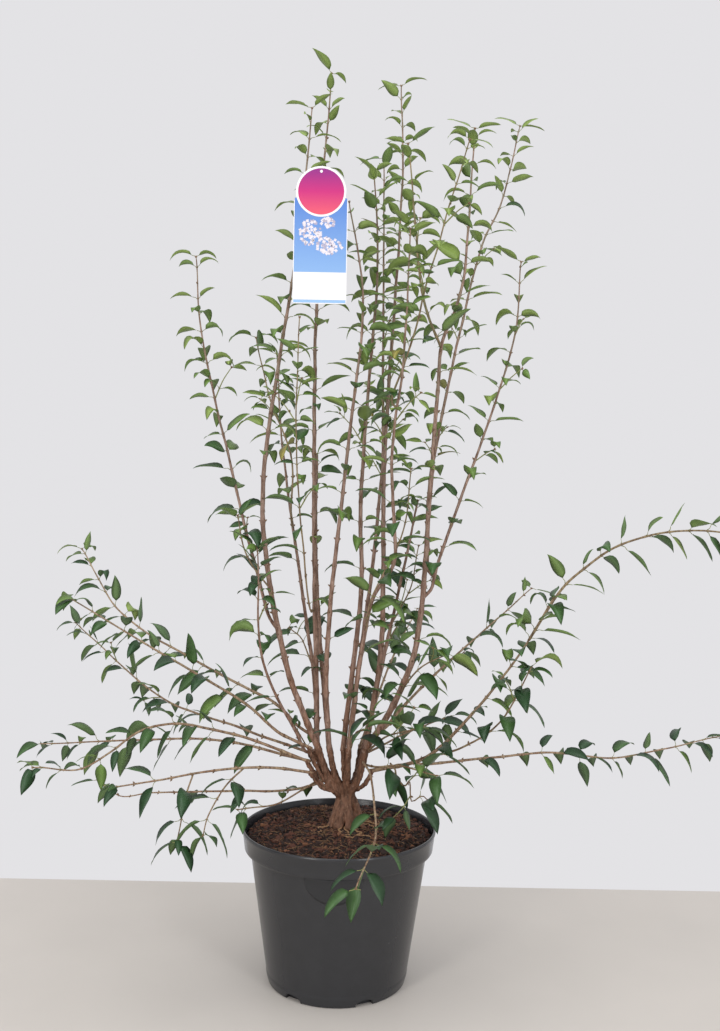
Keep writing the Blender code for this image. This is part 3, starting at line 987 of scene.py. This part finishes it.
def build_chips(surfaces, rng):
    """Loose bark flakes all over the mound, in three shades, with one in ten larger."""
    heaps = [Heap() for _ in surfaces]
    for _ in range(CHIP_COUNT):
        r = CHIP_REACH * math.sqrt(rng.random())
        a = rng.uniform(0, TURN)
        if math.hypot(r * math.cos(a) - CROWN_X, r * math.sin(a)) < CROWN_CLEAR:
            continue
        spot = on_soil(r, a, rng.uniform(0.0004, 0.0022))
        big = rng.random() < 0.10
        long = rng.uniform(0.007, 0.014) if big else rng.uniform(0.0025, 0.006)
        heap = heaps[rng.choices(range(len(heaps)), CHIP_SHARES)[0]]
        add_chip(heap, spot, long, rng)
    for number, (heap, surface) in enumerate(zip(heaps, surfaces)):
        heap.piece(f"soil_chips_{number}", "potting_soil", surface, smooth=False)


def add_chip(heap, spot, long, rng):
    """A broken flake of bark, lying nearly flat."""
    turn = rng.uniform(0, TURN)
    way = polar(1, turn, rng.gauss(0, 0.25)).normalized()
    side, up = square_to(way)
    side = (side + up * rng.gauss(0, 0.4)).normalized()
    up = way.cross(side)
    wide = long * rng.uniform(0.4, 0.85)
    thick = long * rng.uniform(0.2, 0.45)
    points = []
    for level in (-1, 1):
        for a, b in ((-1, -1), (1, -0.7), (0.8, 1), (-0.9, 0.8)):
            along = way * (a * long / 2 * rng.uniform(0.7, 1.1))
            across = side * (b * wide / 2 * rng.uniform(0.6, 1.1))
            points.append(spot + along + across + up * (level * thick / 2))
    faces = [(3, 2, 1, 0), (4, 5, 6, 7), (0, 1, 5, 4), (1, 2, 6, 5), (2, 3, 7, 6), (3, 0, 4, 7)]
    heap.add(points, faces)


def add_fibre(heap, rng):
    """A fine curved fibre that lies on the flakes."""
    r = FIBRE_REACH * math.sqrt(rng.random())
    spot = on_soil(r, rng.uniform(0, TURN), 0.0022)
    way = rng.uniform(0, TURN)
    long = rng.uniform(0.008, 0.024)
    bend = rng.uniform(-1.2, 1.2)
    points = []
    for i in range(6):
        t = i / 5
        turn = way + bend * t
        step = polar(1, turn) * (long * t)
        points.append(spot + step + Vector((0, 0, 0.002 * math.sin(math.pi * t))))
    if max(p.to_2d().length for p in points) < CHIP_REACH:
        add_tube(heap, points, [FIBRE_RADIUS] * len(points), 3)


def add_rootlet(heap, rng):
    """A pale rootlet that runs out from the crown's foot and down into the soil."""
    turn = rng.uniform(0, TURN)
    long = rng.uniform(0.02, 0.045)
    points = []
    for i in range(9):
        t = i / 8
        reach = 0.024 + long * t
        a = turn + 0.5 * t * rng.uniform(-0.3, 1)
        x, y = CROWN_X + reach * math.cos(a), reach * math.sin(a)
        points.append(Vector((x, y, soil_height(math.hypot(x, y)) + 0.005 - 0.004 * t)))
    route = smooth_route(points, 0.003)
    add_tube(heap, route, [ROOTLET_RADIUS] * len(route), 6)


# Pot

FOOT_RADIUS = 0.1138
FOOT_ROUND = 0.003
STEP_RADIUS = 0.102
BODY_TOP_RADIUS = 0.1455
BAND_START = 0.215
BAND_LOW_RADIUS = 0.1548
RIM_RADIUS = 0.1593
POT_HEIGHT = 0.249
POT_WALL = 0.0026
POT_FLOOR = 0.015
POT_SIDES = 180
FOOT_LIP = 0.0006
FOOT_LIP_TOP = 0.0185
NOTCH_COUNT = 6
NOTCH_TURN = math.radians(-66)
NOTCH_HALF = 0.015
NOTCH_HEIGHT = 0.0108
NOTCH_IN = 0.1035
NOTCH_OUT = 0.125
PATCH_HALF = 0.046
PATCH_DEEP = 0.042
PATCH_TOP = 0.2135
PATCH_PROUD = 0.0009
PATCH_THICK = 0.0012
PATCH_SHIFT = 0.035


def pot_radius(z):
    return FOOT_RADIUS + (BODY_TOP_RADIUS - FOOT_RADIUS) * z / BAND_START


def pot_profile():
    """Once round the pot's wall: from under its floor out, up the outside and down the inside."""
    flat = FOOT_RADIUS - FOOT_ROUND
    profile = [(0.0, 0.0015), (STEP_RADIUS - 0.004, 0.0015), (STEP_RADIUS, 0.0), (flat, 0.0)]
    profile += arc(flat, FOOT_ROUND, FOOT_ROUND, -math.pi / 2, math.pi / 2, 4)
    for z in (0.012, 0.016, 0.0185, 0.020, 0.024, 0.06, 0.10, 0.14, 0.18, 0.200, 0.208):
        profile.append((pot_radius(z) + (FOOT_LIP if z < FOOT_LIP_TOP else 0.0), z))
    profile += [
        (pot_radius(0.2125), 0.2125),
        (pot_radius(0.2145) + 0.0012, 0.2145),
        (BAND_LOW_RADIUS - 0.0035, 0.2152),
        (BAND_LOW_RADIUS - 0.0009, 0.2158),
        (BAND_LOW_RADIUS, 0.2172),
        (BAND_LOW_RADIUS + 0.0006, 0.222),
        (RIM_RADIUS - 0.0012, 0.2425),
        (RIM_RADIUS - 0.0002, 0.2440),
        (RIM_RADIUS, 0.2465),
        (RIM_RADIUS - 0.0006, 0.2483),
        (RIM_RADIUS - 0.0016, POT_HEIGHT),
        (RIM_RADIUS - 0.0034, 0.2486),
        (RIM_RADIUS - 0.0042, 0.2470),
        (BAND_LOW_RADIUS - 0.003, 0.2185),
        (pot_radius(0.212) - POT_WALL, 0.213),
        (pot_radius(POT_FLOOR) - POT_WALL, POT_FLOOR),
        (0.0, POT_FLOOR),
    ]
    return profile


def build_pot(surface, patch_surface):
    profile = pot_profile()
    points = []
    for radius, z in profile:
        for k in range(POT_SIDES):
            points.append(polar(radius, TURN * k / POT_SIDES, z))
    heap = Heap()
    heap.add(points, ring_faces(len(profile), POT_SIDES))
    pot = heap.piece("pot_shell", "pot_plastic", surface)
    clean(pot, 1e-6)
    for number in range(NOTCH_COUNT):
        cut_notch(pot, NOTCH_TURN + TURN * number / NOTCH_COUNT)
    apply_modifiers(pot)
    pot.data.shade_smooth()
    pot.data.set_sharp_from_angle(angle=math.radians(38))
    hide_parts("pot")
    build_patch(patch_surface)


def cut_notch(pot, turn):
    """Adds a cutter with a round top for one notch in the pot's foot."""
    bm = bmesh.new()
    out = polar(1, turn)
    along = Vector((-math.sin(turn), math.cos(turn), 0))
    inner, outer = [], []
    for k in range(13):
        a = math.pi * k / 12
        rise = 0.0005 + NOTCH_HEIGHT * math.sin(a) ** 0.7
        flat = along * (NOTCH_HALF * math.cos(a)) + Vector((0, 0, rise))
        inner.append(bm.verts.new(out * NOTCH_IN + flat))
        outer.append(bm.verts.new(out * NOTCH_OUT + flat))
    below = Vector((0, 0, -0.01))
    for row, reach in ((inner, NOTCH_IN), (outer, NOTCH_OUT)):
        row.insert(0, bm.verts.new(out * reach + along * NOTCH_HALF + below))
        row.append(bm.verts.new(out * reach - along * NOTCH_HALF + below))
    count = len(inner)
    for i in range(count):
        j = (i + 1) % count
        bm.faces.new((inner[i], inner[j], outer[j], outer[i]))
    bm.faces.new(inner)
    bm.faces.new(outer)
    bmesh.ops.recalc_face_normals(bm, faces=bm.faces)
    mesh = bpy.data.meshes.new("notch_cutter")
    bm.to_mesh(mesh)
    bm.free()
    cutter = show(bpy.data.objects.new("notch_cutter", mesh))
    cutter.hide_render = True
    step = pot.modifiers.new("notch", "BOOLEAN")
    step.operation = "DIFFERENCE"
    step.object = cutter


def build_patch(surface):
    """A half-round moulded patch that hangs under the band at the front."""
    steps, rows = 24, 8
    points, faces = [], []
    for i in range(rows + 1):
        for k in range(steps + 1):
            u = -1 + 2 * k / steps
            low = PATCH_DEEP * math.sqrt(max(0, 1 - u * u))
            z = PATCH_TOP - low * i / rows
            r = pot_radius(z) + PATCH_PROUD
            turn = -math.pi / 2 + math.asin(PATCH_HALF * u / r) - PATCH_SHIFT
            points.append(polar(r, turn, z))
    for i in range(rows):
        for k in range(steps):
            a = i * (steps + 1) + k
            faces.append((a, a + steps + 1, a + steps + 2, a + 1))
    heap = Heap()
    heap.add(points, faces)
    patch = heap.piece("pot_patch", "pot_plastic", surface)
    clean(patch, 1e-5, PATCH_THICK)


# Tag

# Blossom clusters: middle across and up, half width, half height, number of florets
CLUSTERS = (
    (-0.016, 1.196, 0.017, 0.019, 70),
    (0.014, 1.176, 0.019, 0.015, 60),
    (0.012, 1.212, 0.011, 0.009, 28),
)


def tag_point(x, z, proud=0.0):
    """A point on the slightly bowed card's front."""
    bow = TAG_BOW * math.cos((z - TAG_LOW) / 0.2 * math.pi)
    return Vector((TAG_X + x, TAG_FRONT + TAG_SET + bow - proud, z))


def flat_shape(heap, outline, proud, thick=0.0):
    """A filled flat outline on the card, or a thin slab if it has a thickness."""
    front = [tag_point(x, z, proud) for x, z in outline]
    count = len(front)
    if not thick:
        heap.add(front, [tuple(range(count))])
        return
    back = [p + Vector((0, thick, 0)) for p in front]
    faces = [tuple(range(count)), tuple(range(2 * count - 1, count - 1, -1))]
    for i in range(count):
        j = (i + 1) % count
        faces.append((j, i, count + i, count + j))
    heap.add(front + back, faces)


def flat_piece(name, outlines, proud, surface, thick=0.0):
    heap = Heap()
    for outline in outlines:
        flat_shape(heap, outline, proud, thick)
    return heap.piece(name, "tag_card", surface, smooth=False)


def card_outline():
    """Once round the card from its low left corner, anticlockwise as seen from the front."""
    points = []
    low = TAG_LOW + TAG_CORNER
    for x, start in ((-TAG_HALF + TAG_CORNER, math.pi), (TAG_HALF - TAG_CORNER, 1.5 * math.pi)):
        points += arc(x, low, TAG_CORNER, start, math.pi / 2, 4)
    points.append((TAG_HALF, TAG_SHOULDER))
    start = math.asin((TAG_SHOULDER - HEAD_Z) / HEAD_RADIUS)
    points += arc(0, HEAD_Z, HEAD_RADIUS, start, math.pi - 2 * start, 40)
    points.append((-TAG_HALF, TAG_SHOULDER))
    return points


def bar(half, low, high):
    return [(-half, low), (half, low), (half, high), (-half, high)]


def circle(radius, z, count):
    return arc(0, z, radius, 0, TURN, count)[:-1]


def fade(name, low, high, *colours):
    """A printed colour that changes evenly from a low height to a high one."""
    r = Recipe(name, 0.3)
    stops = [(i / (len(colours) - 1), linear(colour)) for i, colour in enumerate(colours)]
    r.colour(r.ramp(r.height(low, high), stops))
    return r.material


def build_tag():
    white = plain_grain("tag_white", (238, 238, 240), 0.35, 300, 0.00002, 0.02)
    blue = fade("tag_blue", TAG_LOW, TAG_SHOULDER, (150, 190, 232), (86, 130, 205))
    pinks = ((226, 88, 110), (196, 40, 120), (140, 40, 130))
    pink = fade("tag_pink", HEAD_Z - HEAD_FADE, HEAD_Z + HEAD_FADE, *pinks)
    card = flat_piece("tag_card_base", [card_outline()], 0.0, white, TAG_THICK)
    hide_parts("plant_tag")
    half = TAG_HALF - 0.0012
    low, high = TAG_LOW + 0.0015, TAG_SHOULDER + 0.004
    steps = 12
    levels = [low + (high - low) * i / steps for i in range(steps + 1)]
    flat_piece("tag_field", [bar(half, a, b) for a, b in zip(levels, levels[1:])], 0.00015, blue)
    flat_piece("tag_panel", [bar(half, TAG_LOW + 0.006, TAG_LOW + 0.048)], 0.0003, white)
    flat_piece("tag_head_field", [circle(HEAD_FIELD_RADIUS, HEAD_Z, 60)], 0.00045, pink)
    flat_piece("tag_head_rim", [circle(HEAD_RADIUS, HEAD_Z, 60)], 0.0003, white)
    flat_piece("tag_hole", [circle(HOLE_RADIUS, HOLE_Z, 20)], 0.0006, white)
    build_blossom()
    build_tie(white)


def build_blossom():
    """Simple flat florets in loose clusters, two thirds of them pale and the rest shaded."""
    rng = random.Random(TAG_SEED)
    petals = Heap()
    shades = Heap()
    for x, z, wide, tall, count in CLUSTERS:
        for n in range(count):
            a = rng.uniform(0, TURN)
            d = math.sqrt(rng.random())
            size = rng.uniform(0.0021, 0.0032)
            proud = 0.00022 + 0.00001 * (n % 9)
            heap = petals if n % 3 else shades
            add_floret(heap, x + wide * d * math.cos(a), z + tall * d * math.sin(a), size, proud, rng)
    pale = plain_grain("tag_blossom", (226, 220, 226), 0.4, 300, 0.00002, 0.05)
    shade = plain_grain("tag_blossom_shade", (176, 170, 190), 0.4, 300, 0.00002, 0.05)
    petals.piece("tag_florets_pale", "tag_card", pale, smooth=False)
    shades.piece("tag_florets_shade", "tag_card", shade, smooth=False)


def add_floret(heap, x, z, size, proud, rng):
    """A four-petalled flat flower."""
    turn = rng.uniform(0, math.pi / 2)
    outline = []
    for i in range(24):
        a = TURN * i / 24
        reach = size * (0.55 + 0.45 * abs(math.cos(2 * (a - turn))))
        outline.append((x + reach * math.cos(a), z + reach * math.sin(a)))
    flat_shape(heap, outline, proud)


def build_tie(surface):
    """The strap from the card's head back to its stem, as three tubes side by side."""
    low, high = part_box("tag_tie")
    start = Vector((TAG_X, low.y, low.z))
    end = Vector((low.x + 0.002, high.y, high.z - 0.0006))
    middle = Vector((start.x - 0.002, low.y + 0.003, high.z - 0.0002))
    heap = Heap()
    for shift in (-0.0012, 0.0, 0.0012):
        side = Vector((shift, 0, 0))
        points = smooth_route([start + side, middle + side, end + side], 0.001)
        add_tube(heap, points, [0.0007] * len(points), 6)
    tie = heap.piece("tag_strap_band", "tag_strap", surface)
    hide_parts("tag_tie")


# Stage

FLOOR_REACH = 6
FLOOR_BACK = 0.40
BACKDROP = (0.77, 0.765, 0.785, 1)

# Lights: name, place, what it faces, width and height, watts, colour
LIGHTS = (
    ("key", (-1.35, -2.1, 1.5), (0, 0, 0.7), (0.45, 2.2), 22, (1.0, 0.98, 0.95)),
    ("fill", (1.35, -2.1, 1.5), (0, 0, 0.7), (0.45, 2.2), 20, (0.97, 0.98, 1.0)),
    ("top", (0.0, -0.4, 2.9), (0, 0, 0.6), (1.6, 1.6), 16, (1.0, 1.0, 1.0)),
)


def build_stage():
    floor = bpy.data.meshes.new("floor")
    r = FLOOR_REACH
    corners = [(-r, -r, 0), (r, -r, 0), (r, FLOOR_BACK, 0), (-r, FLOOR_BACK, 0)]
    floor.from_pydata(corners, [], [(0, 1, 2, 3)])
    floor.materials.append(plain_grain("floor_beige", (204, 198, 191), 0.6, 3, 0.0001, 0.03))
    thing = show(bpy.data.objects.new("floor", floor))
    world = bpy.data.worlds.new("studio")
    world.use_nodes = True
    background = world.node_tree.nodes["Background"].inputs
    background["Color"].default_value = BACKDROP
    background["Strength"].default_value = 1.0
    bpy.context.scene.world = world
    bpy.context.scene.view_settings.view_transform = "Standard"
    for light in LIGHTS:
        area_light(*light)


def area_light(name, spot, aim, size, watts, colour):
    data = bpy.data.lights.new(name, "AREA")
    data.shape = "RECTANGLE"
    data.size, data.size_y = size
    data.energy = watts
    data.color = colour
    lamp = show(bpy.data.objects.new(name, data))
    lamp.location = spot
    lamp.rotation_euler = (Vector(aim) - Vector(spot)).to_track_quat("-Z", "Y").to_euler()


def build_camera():
    data = bpy.data.cameras.new("camera")
    data.sensor_width = CAMERA_SENSOR
    data.lens = CAMERA_LENS
    camera = show(bpy.data.objects.new("camera", data))
    ahead = Vector((0, math.cos(CAMERA_PITCH), -math.sin(CAMERA_PITCH)))
    above = Vector((0, math.sin(CAMERA_PITCH), math.cos(CAMERA_PITCH)))
    right = Vector((1, 0, 0))
    cos, sin = math.cos(CAMERA_ROLL), math.sin(CAMERA_ROLL)
    axes = Matrix((right * cos + above * sin, above * cos - right * sin, -ahead)).transposed()
    camera.matrix_world = Matrix.Translation(CAMERA_PLACE) @ axes.to_4x4()
    bpy.context.scene.camera = camera


def build_all():
    barks = {name: bark_material(name, *colours) for name, colours in BARKS.items()}
    tints = {}
    for tint, (upper, under) in LEAF_COLOURS.items():
        tints[tint] = (
            leaf_material(f"leaf_{tint}_upper", upper, 0.42),
            leaf_material(f"leaf_{tint}_under", under, 0.6),
        )
    # The limbs' wobble takes its offsets from this seed, and would otherwise differ from run to run
    noise.seed_set(WOBBLE_SEED)
    axes = build_plant(barks, tints)
    build_root_crown(axes, barks["bark_crown"])
    chips = [plain_grain(name, colour, 0.9, 300, 0.0004) for name, colour in CHIP_COLOURS.items()]
    soil = plain_grain("soil_dark", (40, 27, 23), 0.95, 260, 0.001)
    build_soil(soil, chips, plain_grain("soil_fibre", (158, 122, 88), 0.8, 300, 0.0001))
    black = plain_grain("pot_black", (44, 45, 48), 0.24, 40, 0.00002, 0.06)
    build_pot(black, plain_grain("pot_black_dull", (36, 37, 40), 0.5, 900, 0.00004, 0.08))
    build_tag()
    build_stage()
    build_camera()


build_all()
bpy.context.view_layer.update()
